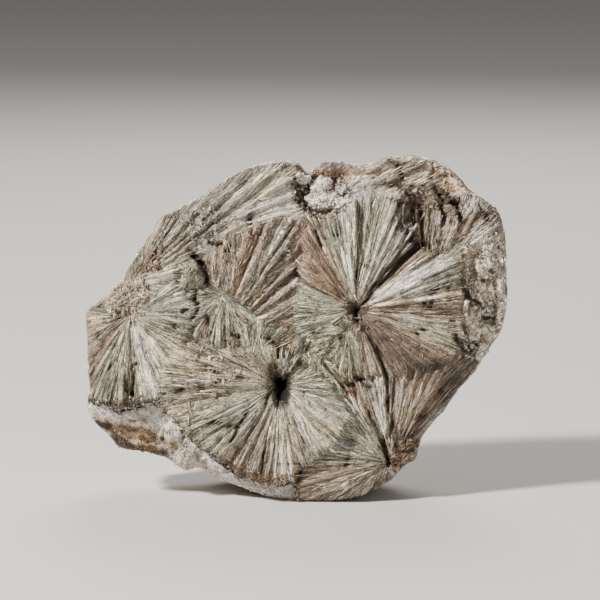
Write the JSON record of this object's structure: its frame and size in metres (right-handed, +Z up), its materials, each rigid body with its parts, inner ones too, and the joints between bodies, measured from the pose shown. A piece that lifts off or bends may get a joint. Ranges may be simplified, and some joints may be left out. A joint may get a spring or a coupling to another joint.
{
  "type": "pyrophyllite specimen",
  "caption": "Mineral specimen of radiating pyrophyllite rosettes on pale host rock, standing on a flat broken edge as a display piece.",
  "frame": {"origin": "middle of the bounding box at the height of the flat edge that the specimen stands on", "axes": "+Z up, +X to the right across the broad face of rosettes, which faces -Y and leans back a little"},
  "size_m": [0.1054, 0.0516, 0.0842],
  "materials": {
    "pyrophyllite": "fibrous laths with a pearly to silky lustre, beige, grey-green and pinkish brown",
    "matrix": "dull granular host rock, pale grey with rusty stains",
    "crust": "small white crystals with brown dust between them"
  },
  "bodies": {
    "root": {"pyrophyllite_rosettes": "pyrophyllite", "matrix_rind": "matrix", "notch_crystals": "crust"}
  },
  "joints": []
}
